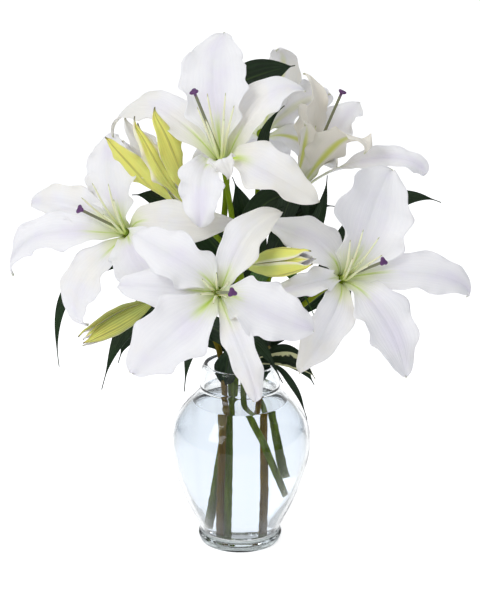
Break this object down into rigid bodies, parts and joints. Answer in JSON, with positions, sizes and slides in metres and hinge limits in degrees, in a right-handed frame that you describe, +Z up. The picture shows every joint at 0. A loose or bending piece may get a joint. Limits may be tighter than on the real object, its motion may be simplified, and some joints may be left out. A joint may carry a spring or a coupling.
{
  "type": "lilies in a vase",
  "caption": "White Oriental lilies with buds and dark green leaves, standing in a clear round glass vase of water.",
  "frame": {"origin": "centre of the vase's foot ring, on the surface that the vase stands on", "axes": "+Z up along the vase's own axis; -Y towards the front of the arrangement, where most flowers face; +X to its right seen from the front"},
  "size_m": [0.4774, 0.3672, 0.5537],
  "materials": {
    "vase_glass": "clear polished glass, grey-green where it is thick",
    "water": "clear still water",
    "white_petal": "soft satin white, lavender in the shade, green along the inner midrib",
    "opening_petal": "satin yellow-green outside, paler along the edges",
    "bud": "satin yellow-green with paler faces",
    "flower_heart": "pale green filaments and style, purple-brown stigma",
    "stem": "satin green, some brown-red low down",
    "leaf": "dark glossy green with fine veins along it"
  },
  "bodies": {
    "root": {"back_lily_petal_1": "white_petal", "back_lily_petal_2": "white_petal", "back_lily_petal_3": "white_petal", "back_lily_pistil_and_stamens": "flower_heart", "back_lily_sepal_1": "white_petal", "back_lily_sepal_2": "white_petal", "back_lily_sepal_3": "white_petal", "collar_leaf": "leaf", "front_lily_petal_1": "white_petal", "front_lily_petal_2": "white_petal", "front_lily_petal_3": "white_petal", "front_lily_pistil_and_stamens": "flower_heart", "front_lily_sepal_1": "white_petal", "front_lily_sepal_2": "white_petal", "front_lily_sepal_3": "white_petal", "left_bud": "bud", "left_lily_petal_1": "white_petal", "left_lily_petal_2": "white_petal", "left_lily_petal_3": "white_petal", "left_lily_pistil_and_stamens": "flower_heart", "left_lily_sepal_1": "white_petal", "left_lily_sepal_2": "white_petal", "left_lily_sepal_3": "white_petal", "opening_lily_petal_1": "opening_petal", "opening_lily_petal_2": "opening_petal", "opening_lily_petal_3": "opening_petal", "opening_lily_sepal_1": "opening_petal", "opening_lily_sepal_2": "opening_petal", "opening_lily_sepal_3": "opening_petal", "right_bud": "bud", "right_lily_petal_1": "white_petal", "right_lily_petal_2": "white_petal", "right_lily_petal_3": "white_petal", "right_lily_pistil_and_stamens": "flower_heart", "right_lily_sepal_1": "white_petal", "right_lily_sepal_2": "white_petal", "right_lily_sepal_3": "white_petal", "side_lily_petal_1": "white_petal", "side_lily_petal_2": "white_petal", "side_lily_petal_3": "white_petal", "side_lily_pistil_and_stamens": "flower_heart", "side_lily_sepal_1": "white_petal", "side_lily_sepal_2": "white_petal", "side_lily_sepal_3": "white_petal", "stem_1": "stem", "stem_2": "stem", "stem_3": "stem", "stem_4": "stem", "stem_5": "stem", "stem_6": "stem", "top_leaf": "leaf", "top_lily_petal_1": "white_petal", "top_lily_petal_2": "white_petal", "top_lily_petal_3": "white_petal", "top_lily_pistil_and_stamens": "flower_heart", "top_lily_sepal_1": "white_petal", "top_lily_sepal_2": "white_petal", "top_lily_sepal_3": "white_petal", "vase": "vase_glass", "vase_water": "water"}
  },
  "joints": []
}
